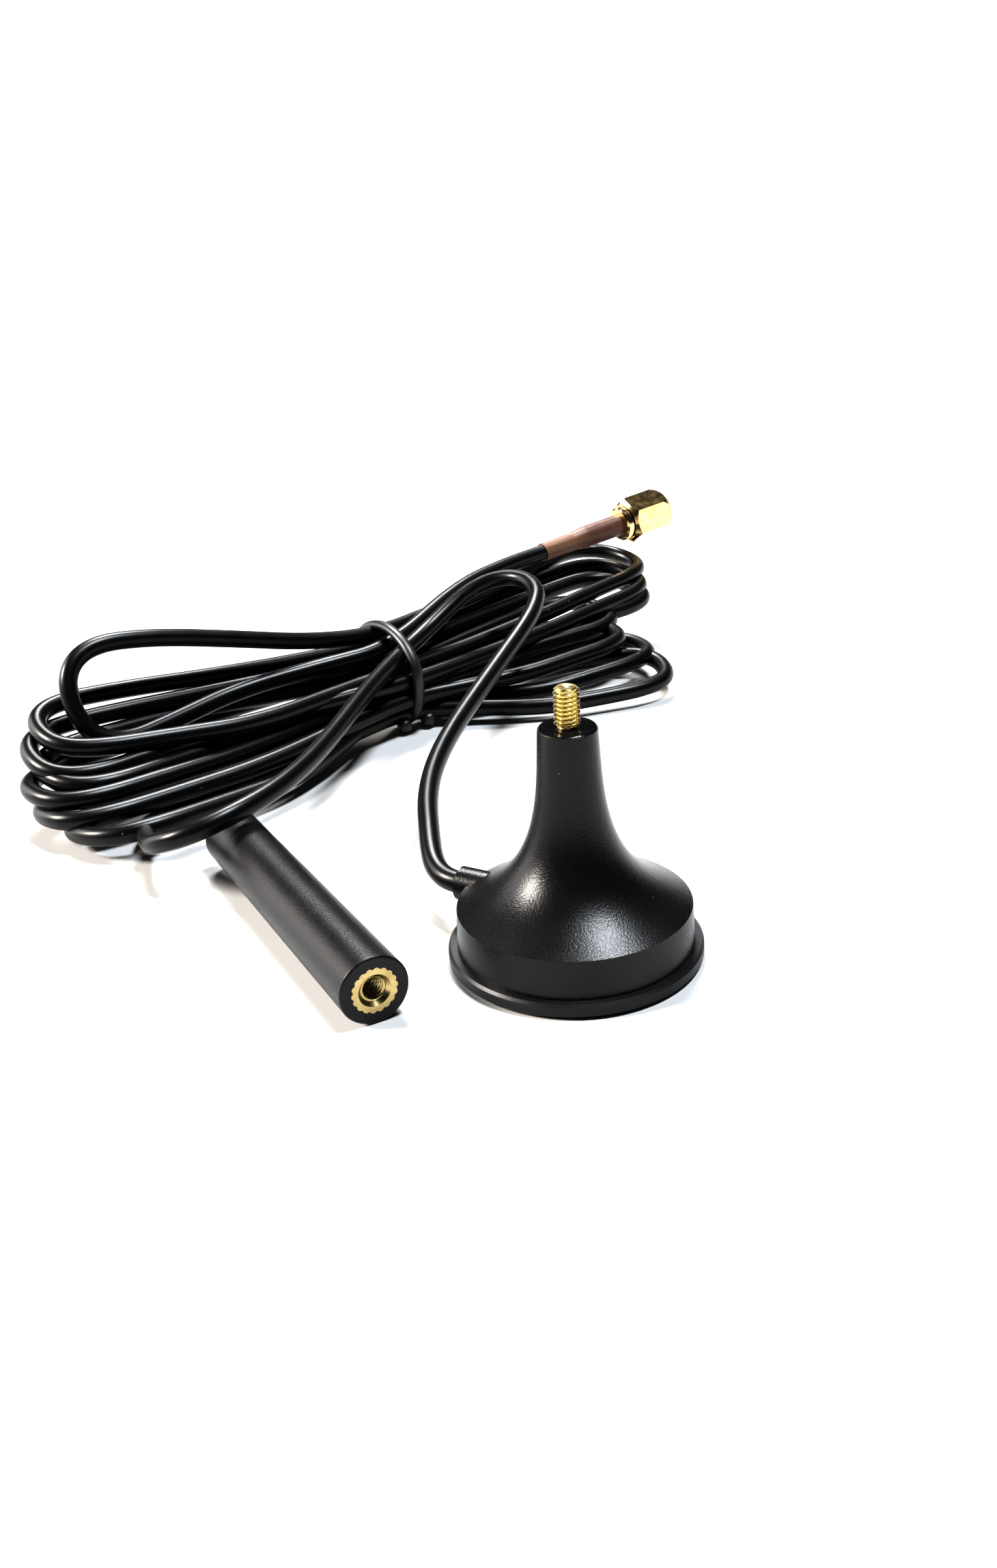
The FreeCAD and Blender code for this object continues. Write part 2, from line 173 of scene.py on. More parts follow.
# Twist tie round the neck of the hank: side offset and height of the points it passes, from its first
# knob in front, over the top, round the back and under, to its second knob
TIE_WIRE_D = 0.0015
TIE_ROUTE = [
    (-0.0072, 0.0012),
    (-0.0094, 0.0024),
    (-0.0112, 0.0052),
    (-0.0118, 0.0090),
    (-0.0108, 0.0122),
    (-0.0078, 0.0147),
    (-0.0036, 0.0160),
    (0.0010, 0.0160),
    (0.0058, 0.0146),
    (0.0092, 0.0118),
    (0.0106, 0.0080),
    (0.0098, 0.0042),
    (0.0068, 0.0016),
    (0.0020, 0.0009),
    (-0.0030, 0.0009),
    (-0.0068, 0.0010),
]
TIE_KNOBS = [(-0.0098, 0.0015, 0.0022), (-0.0100, 0.0015, -0.0024)]
TIE_KNOB_R = 0.0013
TIE_KNOB_LUMP = 0.06
TIE_KNOB_LUMPS_X = 3100
TIE_KNOB_LUMPS_Z = 2700
WELD_DISTANCE = 1e-6

# Stud: M3 x 0.5 thread on a brass bar with a knurled collar
STUD_TAIL_R = 0.0009
STUD_TAIL_END = 0.0063
COLLAR_R = 0.0022
COLLAR_Z = (0.0225, 0.0273)
COLLAR_TEETH = 16
COLLAR_GROOVE = 0.00015
COLLAR_PLAIN_BAND = 0.0006
COLLAR_KNURL_START = 0.0008
THREAD_CREST_R = 0.0015
THREAD_ROOT_R = 0.00118
THREAD_PITCH = 0.0005
THREAD_Z = (0.0286, 0.0332)
STUD_CHAMFER = 0.0004
STUD_NECK_R = 0.00115
STUD_CHAMFER_SLOPE = 1.0
STUD_TIP_R = 0.00105
STUD_DIMPLE = 0.00015
STUD_SEGMENTS = 96
THREAD_STEPS = 12
THREAD_PEAK = 1.25
THREAD_FLANK = 1.9
THREAD_RUN_IN = 0.6

# Whip: the near end's centre, axis and the insert in its mouth
WHIP_START = Vector((-0.0220, -0.0142, 0.00415))
WHIP_AXIS = Vector((math.cos(math.radians(120.2)), math.sin(math.radians(120.2)), 0))
INSERT_R = 0.00285
INSERT_LENGTH = 0.0075
INSERT_TEETH = 18
INSERT_GROOVE_OFFSET = 0.00012
INSERT_GROOVE_R = 0.0003
INSERT_BORE_R = 0.00125
INSERT_THREAD_R = 0.00150
INSERT_DEPTH = 0.0060
COUNTERSINK_R = 0.00195
INSERT_FACE_STEPS = (0.00255, 0.00246, 0.00237, 0.00228, 0.00219, 0.0021, 0.00203)
INSERT_FACE_RIPPLE = 0.00001
INSERT_EDGE = 0.00008
INSERT_SEGMENTS = INSERT_TEETH * 8
COUNTERSINK_SHARE = 0.72
INSERT_END_SHARE = 0.9

# Materials
SHARP_ANGLE = math.radians(32)
GRAIN_DEPTH = 0.00003
GRAIN_SPECULAR = 0.22
HOUSING_TINT = (1.05, 0.97, 1.06)
CABLE_TINT = (0.95, 1.0, 1.15)


def make_camera():
    """Camera that looks along +Y, slightly to the left, and down at the object."""
    pan, down = CAMERA_PAN, CAMERA_DOWN
    ahead = Vector((math.sin(pan) * math.cos(down), math.cos(pan) * math.cos(down), -math.sin(down)))
    level = Vector((math.cos(pan), -math.sin(pan), 0))
    top = level.cross(ahead)
    right = level * math.cos(CAMERA_ROLL) + top * math.sin(CAMERA_ROLL)
    top = right.cross(ahead)
    data = bpy.data.cameras.new("camera")
    data.lens = CAMERA_LENS
    data.clip_start, data.clip_end = CAMERA_CLIP
    camera = bpy.data.objects.new("camera", data)
    bpy.context.scene.collection.objects.link(camera)
    axes = Matrix((right, top, -ahead)).transposed().to_4x4()
    camera.matrix_world = Matrix.Translation(CAMERA_AT) @ axes
    bpy.context.scene.camera = camera


def turn(arriving, leaving, shape, first):
    """Points of one end turn of the hank. first says which strand comes first, FRONT or BACK."""
    apex, half_gap, tilt, front_bow, back_bow = shape
    apex = Vector(apex)
    inward = (arriving + leaving) / 2 - apex
    inward.z = 0
    inward.normalize()
    back = Vector((-inward.y, inward.x, 0))
    if back.y < 0:
        back = -back
    across = back * math.cos(math.radians(tilt)) + UP * math.sin(math.radians(tilt))
    across = across * half_gap * first
    start = apex + inward * half_gap * TURN_LENGTH + across
    end = apex + inward * half_gap * TURN_LENGTH - across
    forward = -(back + UP * BOW_DROP)
    bows = (front_bow, back_bow) if first == FRONT else (back_bow, front_bow)
    going_in, going_out = [[forward * bow * share for share in BOW_SHARES] for bow in bows]
    points = [eased(arriving, start, t) + bowed for t, bowed in zip(TURN_STEPS, going_in)]
    points += [start, apex + across * TURN_CORNER, apex - across * TURN_CORNER, end]
    outgoing = [eased(leaving, end, t) + bowed for t, bowed in zip(TURN_STEPS, going_out)]
    return points + outgoing[::-1]


def eased(here, there, t):
    """Point part of the way from here to there, whose height changes gently at both ends."""
    point = here.lerp(there, t)
    point.z = here.z + (there.z - here.z) * t * t * (3 - 2 * t)
    return point


def cable_points():
    """Control points of the whole cable, from the boss through the hank to the plug."""
    boss = Vector((math.cos(BOSS_ANGLE), math.sin(BOSS_ANGLE), 0))
    points = [boss * r + UP * BOSS_Z for r in (BOSS_END, BOSS_END + LEAD_FIRST_RUN)]
    points += [Vector(p) for p in LEAD_ROUTE]
    passes = [TIE_CENTRE + HANK_SIDE * side + UP * height for side, height in PASSES]
    half_turn = turn(points[-1], passes[0], LEFT_TURNS[0], FRONT)
    points += half_turn[2 * len(TURN_STEPS):]
    for i, left in enumerate(LEFT_TURNS[1:]):
        front, out, back = passes[2 * i:2 * i + 3]
        points.append(front)
        points += turn(front, out, RIGHT_TURNS[i], FRONT)
        points.append(out)
        points += turn(out, back, left, BACK)
    points.append(passes[-1])
    points += [Vector(p) for p in TAIL_ROUTE]
    points += [PLUG_START, PLUG_START + PLUG_AXIS * CABLE_INTO_SLEEVE]
    return points


def round_curve(name, points, diameter, resolution):
    """Round cord along one open NURBS spline with these control points.

    Each point's radius, in metres, carries the thickness, because the curve's box grows by that radius.
    """
    curve = bpy.data.curves.new(name, "CURVE")
    curve.dimensions = "3D"
    curve.bevel_depth = 1.0
    curve.bevel_resolution = CORD_ROUND_STEPS
    curve.use_fill_caps = True
    spline = curve.splines.new("NURBS")
    spline.points.add(len(points) - 1)
    for control, point in zip(spline.points, points):
        control.co = (*point, 1)
        control.radius = diameter / 2
    spline.order_u = 3
    spline.use_endpoint_u = True
    spline.resolution_u = resolution
    piece = bpy.data.objects.new(name, curve)
    bpy.context.scene.collection.objects.link(piece)
    return piece


def make_cable():
    """The cable: lead, hank and tail in one piece."""
    piece = round_curve("coax_cable", cable_points(), CABLE_D, CABLE_STEPS)
    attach(piece, "root")
    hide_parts("cable_lead", "cable_hank", "cable_tail")
    return piece


def make_tie():
    """Twist tie: a flat PVC-covered wire round the hank, its two ends rolled into knobs."""
    points = [TIE_CENTRE + HANK_SIDE * side + UP * height for side, height in TIE_ROUTE]
    wire = round_curve("tie_wire", points, TIE_WIRE_D, TIE_STEPS)
    mesh = bpy.data.meshes.new_from_object(wire)
    bpy.data.objects.remove(wire)
    shape = bmesh.new()
    shape.from_mesh(mesh)
    bmesh.ops.remove_doubles(shape, verts=shape.verts, dist=WELD_DISTANCE)
    for vertex in shape.verts:
        along = (vertex.co - TIE_CENTRE).dot(HANK_ALONG)
        vertex.co += HANK_ALONG * along * TIE_FLATNESS
    for side, height, along in TIE_KNOBS:
        centre = TIE_CENTRE + HANK_SIDE * side + UP * height + HANK_ALONG * along
        knob = bmesh.ops.create_uvsphere(shape, u_segments=24, v_segments=16, radius=TIE_KNOB_R)
        for vertex in knob["verts"]:
            wave = math.sin(vertex.co.x * TIE_KNOB_LUMPS_X + 1) * math.cos(vertex.co.z * TIE_KNOB_LUMPS_Z)
            lump = 1 + TIE_KNOB_LUMP * wave
            vertex.co = centre + vertex.co * lump
    shape.to_mesh(mesh)
    shape.free()
    piece = finished_piece("twist_tie", mesh, "root")
    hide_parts("cable_tie")
    return piece


def finished_piece(name, mesh, body):
    """Object for a finished mesh, smooth except at its sharp edges, riding on a body."""
    smooth(mesh)
    piece = bpy.data.objects.new(name, mesh)
    bpy.context.scene.collection.objects.link(piece)
    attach(piece, body)
    return piece


def smooth(mesh, angle=SHARP_ANGLE):
    """Shade a mesh smooth, with edges sharper than the angle kept sharp."""
    mesh.polygons.foreach_set("use_smooth", [True] * len(mesh.polygons))
    mesh.set_sharp_from_angle(angle=angle)


def ring_mesh(name, rings, start, axis):
    """Closed turned shape. rings: (list of radii round the axis, height along the axis); both ends filled."""
    to_axis = Matrix.Translation(start) @ UP.rotation_difference(axis).to_matrix().to_4x4()
    segments = len(rings[0][0])
    spots = []
    for radii, height in rings:
        for i, r in enumerate(radii):
            angle = 2 * math.pi * i / segments
            spots.append(to_axis @ Vector((r * math.cos(angle), r * math.sin(angle), height)))
    faces = []
    for row in range(len(rings) - 1):
        low, high = row * segments, (row + 1) * segments
        for i in range(segments):
            j = (i + 1) % segments
            faces.append((low + i, low + j, high + j, high + i))
    faces.append(tuple(range(segments - 1, -1, -1)))
    last = (len(rings) - 1) * segments
    faces.append(tuple(range(last, last + segments)))
    mesh = bpy.data.meshes.new(name)
    mesh.from_pydata(spots, [], faces)
    mesh.validate()
    return mesh


def plain_ring(radius, height, segments):
    """A round ring, ready for ring_mesh."""
    return [radius] * segments, height


def thread_radii(height, segments, crest, root, fade):
    """Radii of one ring of a right-hand thread. fade runs from 0, plain at the root radius, to 1, full."""
    radii = []
    for i in range(segments):
        phase = (height / THREAD_PITCH - i / segments) % 1
        ridge = min(1, max(0, THREAD_PEAK - abs(2 * phase - 1) * THREAD_FLANK))
        radii.append(root + (crest - root) * ridge * fade)
    return radii


def knurled_ring(height):
    """A ring of the stud's collar, with its grooves."""
    radii = []
    for i in range(STUD_SEGMENTS):
        wave = 0.5 - 0.5 * math.cos(2 * math.pi * COLLAR_TEETH * i / STUD_SEGMENTS)
        radii.append(COLLAR_R - COLLAR_GROOVE * wave)
    return radii, height


def make_stud():
    """Brass stud: tail, knurled collar and a real M3 thread with a chamfered, dimpled end."""
    low, high = COLLAR_Z
    foot, top = THREAD_Z
    turned = [(STUD_TAIL_R, STUD_TAIL_END), (STUD_TAIL_R, low), (COLLAR_R, low),
              (COLLAR_R, low + COLLAR_PLAIN_BAND)]
    rings = [plain_ring(radius, height, STUD_SEGMENTS) for radius, height in turned]
    rings += [knurled_ring(low + COLLAR_KNURL_START), knurled_ring(high - COLLAR_KNURL_START)]
    turned = [(COLLAR_R, high - COLLAR_PLAIN_BAND), (COLLAR_R, high), (STUD_NECK_R, high),
              (STUD_NECK_R, foot)]
    rings += [plain_ring(radius, height, STUD_SEGMENTS) for radius, height in turned]
    count = round((top - foot) / THREAD_PITCH * THREAD_STEPS)
    for k in range(count + 1):
        height = foot + (top - foot) * k / count
        fade = min(1, (height - foot) / (THREAD_RUN_IN * THREAD_PITCH))
        limit = THREAD_CREST_R - max(0, height - (top - STUD_CHAMFER)) * STUD_CHAMFER_SLOPE
        radii = thread_radii(height, STUD_SEGMENTS, THREAD_CREST_R, THREAD_ROOT_R, fade)
        rings.append(([min(r, limit) for r in radii], height))
    end = [(STUD_TIP_R, top), (STUD_TIP_R * 0.45, top), (STUD_TIP_R * 0.2, top - STUD_DIMPLE)]
    rings += [plain_ring(radius, height, STUD_SEGMENTS) for radius, height in end]
    piece = finished_piece("stud_thread", ring_mesh("stud_thread", rings, ORIGIN, UP), "root")
    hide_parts("threaded_stud")
    return piece


def toothed_ring(height, shrink=0.0):
    """A ring of the insert's rim, with its round grooves, smaller by shrink."""
    centre_r = INSERT_R + INSERT_GROOVE_OFFSET
    step = 2 * math.pi / INSERT_TEETH
    radii = []
    for i in range(INSERT_SEGMENTS):
        angle = 2 * math.pi * i / INSERT_SEGMENTS
        away = (angle + step / 2) % step - step / 2
        reach = INSERT_GROOVE_R ** 2 - (centre_r * math.sin(away)) ** 2
        groove = centre_r * math.cos(away) - math.sqrt(reach) if reach > 0 else INSERT_R
        radii.append(min(INSERT_R, groove) - shrink)
    return radii, height


def make_insert():
    """Whip's brass insert: toothed outside, turned face, countersink and internal M3 thread."""
    mouth = COUNTERSINK_R - INSERT_BORE_R
    start = mouth * COUNTERSINK_SHARE
    rings = [toothed_ring(INSERT_LENGTH), toothed_ring(INSERT_EDGE), toothed_ring(0, INSERT_EDGE)]
    for radius in INSERT_FACE_STEPS:
        ripple = INSERT_FACE_RIPPLE if len(rings) % 2 else 0
        rings.append(plain_ring(radius, ripple, INSERT_SEGMENTS))
    rings.append(plain_ring(COUNTERSINK_R, 0, INSERT_SEGMENTS))
    rings.append(plain_ring(INSERT_THREAD_R, start, INSERT_SEGMENTS))
    count = round((INSERT_DEPTH - mouth) / THREAD_PITCH * THREAD_STEPS)
    for k in range(count + 1):
        height = start + (INSERT_DEPTH - start) * k / count
        rings.append((thread_radii(height, INSERT_SEGMENTS, INSERT_BORE_R, INSERT_THREAD_R, 1), height))
    rings.append(plain_ring(INSERT_BORE_R * INSERT_END_SHARE, INSERT_DEPTH, INSERT_SEGMENTS))
    mesh = ring_mesh("insert_brass", rings, WHIP_START, WHIP_AXIS)
    piece = finished_piece("insert_brass", mesh, "whip")
    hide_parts("whip_insert")
    return piece


def make_floor():
    """Plain pale floor, wide enough to fill every view."""
    bpy.ops.mesh.primitive_plane_add(size=FLOOR_SIZE)
    floor = bpy.context.object
    floor.name = "floor"
    floor.data.materials.append(floor_material())
    return floor


def make_lights():
    """Soft studio lights, and a surround that is white at the horizon and dark overhead."""
    for name, (direction, width, strength, colour) in LIGHTS.items():
        data = bpy.data.lights.new(name, "SUN")
        data.angle = math.radians(width)
        data.energy = strength
        data.color = colour
        light = bpy.data.objects.new(name, data)
        bpy.context.scene.collection.objects.link(light)
        light.rotation_euler = Vector(direction).to_track_quat("Z", "Y").to_euler()
        light.location = Vector(direction)
    world = bpy.data.worlds.new("studio")
    bpy.context.scene.world = world
    world.use_nodes = True
    nodes, links = world.node_tree.nodes, world.node_tree.links
    height = nodes.new("ShaderNodeSeparateXYZ")
    links.new(nodes.new("ShaderNodeTexCoord").outputs["Generated"], height.inputs[0])
    fall = nodes.new("ShaderNodeMapRange")
    low, high = SURROUND_EDGE
    for socket, value in (("From Min", low), ("From Max", high), ("To Min", SURROUND_BRIGHT),
                          ("To Max", SURROUND_DARK)):
        fall.inputs[socket].default_value = value
    links.new(height.outputs["Z"], fall.inputs["Value"])
    behind = nodes.new("ShaderNodeMapRange")
    near, far = SURROUND_TURN
    for socket, value in (("From Min", near), ("From Max", far), ("To Min", SURROUND_PALE), ("To Max", 1.0)):
        behind.inputs[socket].default_value = value
    links.new(height.outputs["Y"], behind.inputs["Value"])
    strength = nodes.new("ShaderNodeMath")
    strength.operation = "MULTIPLY"
    links.new(fall.outputs["Result"], strength.inputs[0])
    links.new(behind.outputs["Result"], strength.inputs[1])
    links.new(strength.outputs[0], nodes["Background"].inputs["Strength"])
    nodes["Background"].inputs["Color"].default_value = (1, 1, 1, 1)
    view = bpy.context.scene.view_settings
    view.view_transform = "Standard"
    view.exposure = VIEW_EXPOSURE
    view.gamma = VIEW_GAMMA


class Surface:
    """A procedural material under construction, with short names for the nodes it uses."""

    def __init__(self, name, **settings):
        self.material = bpy.data.materials.new(name)
        self.material.use_nodes = True
        self.tree = self.material.node_tree
        self.shader = self.tree.nodes["Principled BSDF"]
        for socket, value in settings.items():
            self.shader.inputs[socket.replace("_", " ")].default_value = value
        self.place = self.tree.nodes.new("ShaderNodeTexCoord").outputs["Object"]
        self.normal = None

    def node(self, kind, output, inputs=(), **settings):
        """Add a node, set it up and return one of its outputs. An input is a value or another output."""
        node = self.tree.nodes.new(kind)
        for key, value in settings.items():
            setattr(node, key, value)
        for key, value in dict(inputs).items():
            if isinstance(value, bpy.types.NodeSocket):
                self.tree.links.new(value, node.inputs[key])
            else:
                node.inputs[key].default_value = value
        return node.outputs[output]

    def noise(self, scale, detail=3.0, roughness=0.55, place=None, distortion=0.0):
        """Noise between 0 and 1. scale is in lumps per metre."""
        inputs = {"Vector": place or self.place, "Scale": scale, "Detail": detail, "Roughness": roughness,
                  "Distortion": distortion}
        return self.node("ShaderNodeTexNoise", "Fac", inputs)

    def lines(self, along, scale):
        """Noise along one measure only, which gives parallel lines. scale is in lines per metre."""
        inputs = {"W": along, "Scale": scale, "Detail": 2.0}
        return self.node("ShaderNodeTexNoise", "Fac", inputs, noise_dimensions="1D")

    def cells(self, scale, output="Distance", place=None, randomness=1.0):
        """Distance from the nearest of many scattered points, in cells, or a random colour for each."""
        inputs = {"Vector": place or self.place, "Scale": scale, "Randomness": randomness}
        return self.node("ShaderNodeTexVoronoi", output, inputs)

    def ranged(self, value, low, high, to_low=0.0, to_high=1.0):
        """Value, rescaled from low..high to to_low..to_high and held there."""
        inputs = {"Value": value, "From Min": low, "From Max": high, "To Min": to_low, "To Max": to_high}
        return self.node("ShaderNodeMapRange", "Result", inputs)

    def maths(self, operation, first, second=0.0):
        """One arithmetic step on two values."""
        return self.node("ShaderNodeMath", 0, {0: first, 1: second}, operation=operation)

    def mixed(self, share, first, second):
        """Colour between first and second."""
        inputs = {"Factor": share, 6: first, 7: second}
        return self.node("ShaderNodeMix", 2, inputs, data_type="RGBA")

    def axis_place(self, start, axis):
        """Coordinates whose Z runs along an axis from start."""
        turned = UP.rotation_difference(axis).to_euler()
        inputs = {"Vector": self.place, "Location": start, "Rotation": turned}
        return self.node("ShaderNodeMapping", 0, inputs, vector_type="TEXTURE")

    def stretched(self, scale, place=None):
        """Coordinates scaled on each axis, so that a pattern runs long one way."""
        return self.node("ShaderNodeMapping", 0, {"Vector": place or self.place, "Scale": scale})

    def split(self, place=None):
        """X, Y and Z of coordinates."""
        node = self.tree.nodes.new("ShaderNodeSeparateXYZ")
        self.tree.links.new(place or self.place, node.inputs[0])
        return node.outputs

    def radius(self, place=None):
        """Distance from the Z axis of coordinates."""
        x, y, _ = self.split(place)
        squares = self.maths("ADD", self.maths("MULTIPLY", x, x), self.maths("MULTIPLY", y, y))
        return self.maths("SQRT", squares)

    def colour(self, value):
        """Drive the base colour."""
        self.tree.links.new(value, self.shader.inputs["Base Color"])

    def rough(self, value):
        """Drive the roughness."""
        self.tree.links.new(value, self.shader.inputs["Roughness"])

    def raise_by(self, height, distance, strength=1.0):
        """Add a layer of relief: height 0..1 stands for distance in metres."""
        inputs = {"Height": height, "Distance": distance, "Strength": strength}
        if self.normal:
            inputs["Normal"] = self.normal
        self.normal = self.node("ShaderNodeBump", "Normal", inputs)
        self.tree.links.new(self.normal, self.shader.inputs["Normal"])


def grey(level, tint=(1.0, 1.0, 1.0)):
    """Colour of one lightness with a slight tint."""
    return (level * tint[0], level * tint[1], level * tint[2], 1)


def floor_material():
    """Matte white paper."""
    paper = Surface("floor_paper", Roughness=0.9, Specular_IOR_Level=0.2)
    cloudy = paper.noise(9, 3)
    paper.colour(paper.mixed(cloudy, grey(0.42), grey(0.46, (1, 1, 0.99))))
    paper.raise_by(paper.noise(2500, 2), 0.00002)
    return paper.material


def grained_plastic(name, dark, light, gloss, top_gloss=None):
    """Black ABS with a spark-eroded grain, slightly polished where it is handled."""
    plastic = Surface(name, Specular_IOR_Level=GRAIN_SPECULAR)
    grain = plastic.noise(4200, 3, 0.6)
    pits = plastic.cells(4000)
    clouds = plastic.noise(160, 4)
    tone = plastic.maths("ADD", plastic.maths("MULTIPLY", grain, 0.5), plastic.maths("MULTIPLY", clouds, 0.5))
    base = plastic.mixed(plastic.ranged(tone, 0.35, 0.65), dark, light)
    lint = plastic.ranged(plastic.cells(420), 0.055, 0.03)
    kept = plastic.ranged(plastic.noise(190, 2), 0.60, 0.64)
    speck = plastic.maths("MULTIPLY", lint, kept)
    base = plastic.mixed(plastic.maths("MULTIPLY", speck, 0.5), base, grey(0.22))
    low, high = gloss
    rough = plastic.ranged(plastic.maths("ADD", clouds, grain), 0.7, 1.3, low, high)
    if top_gloss:
        height, value = top_gloss
        on_top = plastic.ranged(plastic.split()[2], height, height + 0.0001)
        rough = plastic.node("ShaderNodeMix", 0, {"Factor": on_top, 2: rough, 3: value})
        relief = plastic.maths("MULTIPLY", grain, plastic.maths("SUBTRACT", 1.0, on_top))
        plastic.raise_by(relief, GRAIN_DEPTH)
    else:
        plastic.raise_by(grain, GRAIN_DEPTH)
    plastic.raise_by(pits, GRAIN_DEPTH * 0.5, 0.5)
    plastic.colour(base)
    plastic.rough(rough)
    return plastic.material


def satin_pvc(name, dark, light, gloss, specular, scuffs=0.25, lint=0.3):
    """Soft black PVC: smooth, with faint scuffs, a slight unevenness and a few specks of lint."""
    pvc = Surface(name, Specular_IOR_Level=specular)
    clouds = pvc.noise(220, 4)
    fine = pvc.noise(2600, 3)
    base = pvc.mixed(clouds, dark, light)
    scuff = pvc.ranged(pvc.noise(900, 5, 0.7, distortion=1.5), 0.66, 0.78)
    base = pvc.mixed(pvc.maths("MULTIPLY", scuff, scuffs), base, grey(0.05))
    speck = pvc.ranged(pvc.cells(520), 0.07, 0.03)
    kept = pvc.ranged(pvc.noise(240, 2), 0.58, 0.62)
    base = pvc.mixed(pvc.maths("MULTIPLY", pvc.maths("MULTIPLY", speck, kept), lint), base, grey(0.5))
    low, high = gloss
    worn = pvc.maths("ADD", clouds, pvc.maths("MULTIPLY", scuff, 0.6))
    pvc.colour(base)
    pvc.rough(pvc.ranged(worn, 0.3, 1.1, low, high))
    pvc.raise_by(fine, 0.00001, 0.5)
    pvc.raise_by(pvc.noise(420, 2), 0.00004, 0.35)
    return pvc.material


def turned_metal(name, bright, dull, gloss, place=None, rings=True, relief=0.000006):
    """Turned metal: fine tool rings about an axis, smudges and a little tarnish."""
    metal = Surface(name, Metallic=1.0)
    about = metal.axis_place(*place) if place else metal.place
    smudge = metal.noise(700, 4, 0.6)
    fine = metal.noise(6500, 2)
    metal.colour(metal.mixed(metal.ranged(smudge, 0.42, 0.72), bright, dull))
    low, high = gloss
    worn = metal.maths("ADD", smudge, metal.maths("MULTIPLY", fine, 0.3))
    metal.rough(metal.ranged(worn, 0.4, 1.0, low, high))
    if rings:
        metal.raise_by(metal.lines(metal.radius(about), 14000.0), relief, 0.6)
        metal.raise_by(metal.lines(metal.split(about)[2], 11000.0), relief * 0.6, 0.5)
    metal.raise_by(fine, relief * 0.5, 0.4)
    return metal.material


def moulded(name, dark, light, gloss, grain_scale=1800, relief=0.00002, **settings):
    """Plain moulded plastic, foam or rubber with a soft cloudiness and a fine texture."""
    solid = Surface(name, **settings)
    clouds = solid.noise(180, 4)
    fine = solid.noise(grain_scale, 4, 0.6)
    tone = solid.maths("ADD", solid.maths("MULTIPLY", clouds, 0.6), solid.maths("MULTIPLY", fine, 0.4))
    solid.colour(solid.mixed(tone, dark, light))
    low, high = gloss
    solid.rough(solid.ranged(fine, 0.3, 0.7, low, high))
    solid.raise_by(fine, relief, 0.7)
    return solid.material


def shrink_tube(name):
    """Brown heat-shrink: thin over the cable, darker over the ferrule, with faint length-wise wrinkles."""
    shrink = Surface(name, Specular_IOR_Level=0.22)
    about = shrink.axis_place(PLUG_START, PLUG_AXIS)
    along = shrink.split(about)[2]
    clouds = shrink.noise(420, 4)
    thick = shrink.ranged(along, 0.0065, 0.0105)
    thin_colour = shrink.mixed(clouds, (0.140, 0.072, 0.042, 1), (0.200, 0.104, 0.063, 1))
    thick_colour = shrink.mixed(clouds, (0.074, 0.031, 0.019, 1), (0.110, 0.050, 0.032, 1))
    shrink.colour(shrink.mixed(thick, thin_colour, thick_colour))
    shrink.rough(shrink.ranged(clouds, 0.3, 0.7, 0.34, 0.5))
    wrinkles = shrink.noise(900, 3, 0.5, shrink.stretched((1.6, 1.6, 0.25), about))
    shrink.raise_by(wrinkles, 0.00010, 0.6)
    shrink.raise_by(shrink.noise(5000, 2), 0.000008, 0.5)
    return shrink.material


def black_materials():
    """The object's outside: black plastics, PVC and the brown sleeve."""
    foot = (grey(0.0025, HOUSING_TINT), grey(0.005, HOUSING_TINT))
    housing = (grey(0.0018, HOUSING_TINT), grey(0.0036, HOUSING_TINT))
    whip = (grey(0.0022, HOUSING_TINT), grey(0.0042, HOUSING_TINT))
    cable_black = (grey(0.0006, CABLE_TINT), grey(0.0014, CABLE_TINT))
    return {
        "foot_pvc": satin_pvc("foot_pvc", *foot, (0.36, 0.5), 0.25, 0.3, 0.8),
        "housing_plastic": grained_plastic("housing_plastic", *housing, (0.24, 0.29), (0.0284, 0.07)),
        "whip_plastic": grained_plastic("whip_plastic", *whip, (0.31, 0.39)),
        "cable_pvc": satin_pvc("cable_pvc", *cable_black, (0.29, 0.38), 0.20, 0.12, 0.35),
        "tie_pvc": satin_pvc("tie_pvc", grey(0.006), grey(0.012), (0.34, 0.5), 0.45),
        "shrink_brown": shrink_tube("shrink_brown"),
    }


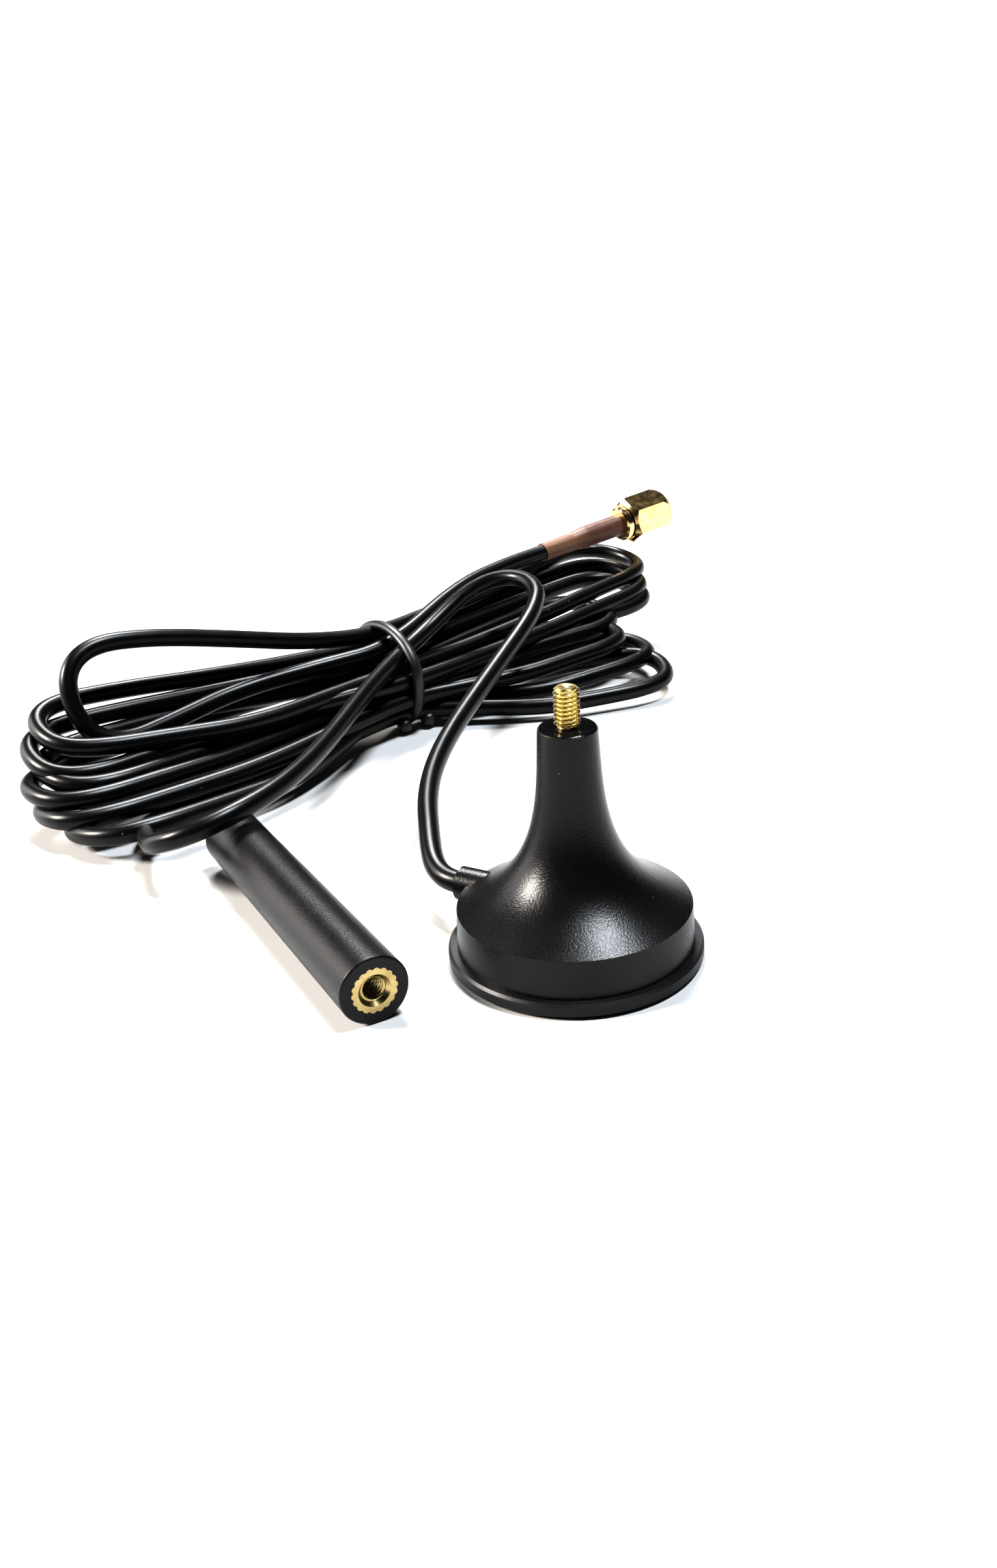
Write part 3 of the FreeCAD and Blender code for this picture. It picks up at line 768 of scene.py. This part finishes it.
def metal_materials():
    """Metals, each with its tool rings about the axis it was turned on."""
    stud_axis = (ORIGIN, UP)
    whip_axis = (WHIP_START, WHIP_AXIS)
    plug_axis = (PLUG_START, PLUG_AXIS)
    nickel = ((0.62, 0.62, 0.60, 1), (0.42, 0.42, 0.41, 1))
    zinc = ((0.6, 0.62, 0.66, 1), (0.45, 0.47, 0.5, 1))
    tin = ((0.75, 0.74, 0.72, 1), (0.55, 0.54, 0.5, 1))
    brass = ((0.60, 0.48, 0.20, 1), (0.44, 0.33, 0.11, 1))
    dull_brass = ((0.44, 0.35, 0.165, 1), (0.34, 0.26, 0.11, 1))
    gold = ((0.95, 0.70, 0.34, 1), (0.80, 0.52, 0.20, 1))
    solder = ((0.72, 0.73, 0.75, 1), (0.5, 0.5, 0.5, 1))
    copper = ((0.9, 0.42, 0.22, 1), (0.7, 0.3, 0.15, 1))
    bronze = ((0.75, 0.5, 0.25, 1), (0.55, 0.35, 0.18, 1))
    return {
        "magnet_nickel": turned_metal("magnet_nickel", *nickel, (0.15, 0.4), stud_axis, False),
        "zinc_steel": turned_metal("zinc_steel", *zinc, (0.3, 0.55), stud_axis),
        "tinned_copper": turned_metal("tinned_copper", *tin, (0.2, 0.45), stud_axis),
        "brass": turned_metal("brass", *brass, (0.18, 0.36), stud_axis),
        "insert_brass": turned_metal("insert_brass", *dull_brass, (0.20, 0.36), whip_axis, True, 0.000012),
        "gold_plate": turned_metal("gold_plate", *gold, (0.08, 0.22), plug_axis),
        "solder": turned_metal("solder", *solder, (0.12, 0.35), stud_axis, False),
        "bare_copper": turned_metal("bare_copper", *copper, (0.12, 0.3), whip_axis, False),
        "spring_bronze": turned_metal("spring_bronze", *bronze, (0.15, 0.3), plug_axis),
    }


def hidden_materials():
    """Pale plastics, foam and rubber inside the whip and the plug."""
    red = ((0.35, 0.03, 0.02, 1), (0.5, 0.05, 0.03, 1))
    return {
        "dielectric": moulded("dielectric", grey(0.62), grey(0.78), (0.3, 0.45)),
        "former_pom": moulded("former_pom", grey(0.66), grey(0.8), (0.28, 0.4)),
        "foam": moulded("foam", grey(0.03), grey(0.09), (0.85, 0.95), 3500, 0.00015),
        "ptfe": moulded("ptfe", grey(0.8), grey(0.88), (0.3, 0.42)),
        "silicone_red": moulded("silicone_red", *red, (0.4, 0.55)),
    }


def dress(materials, pieces):
    """Give every CAD node and every piece the material of its slot."""
    for part in frame["record"]["subparts"]:
        node = NODES[part["node"]]
        node.data.materials.clear()
        node.data.materials.append(materials[part["material_slot"]])
        smooth(node.data)
    for piece, name in pieces:
        piece.data.materials.clear()
        piece.data.materials.append(materials[name])


make_camera()
cable = make_cable()
tie = make_tie()
cable_points()[0]
stud = make_stud()
insert = make_insert()
materials = {**black_materials(), **metal_materials(), **hidden_materials()}
dress(materials, [(cable, "cable_pvc"), (tie, "tie_pvc"), (stud, "brass"), (insert, "insert_brass")])
make_floor()
make_lights()

bpy.context.view_layer.update()
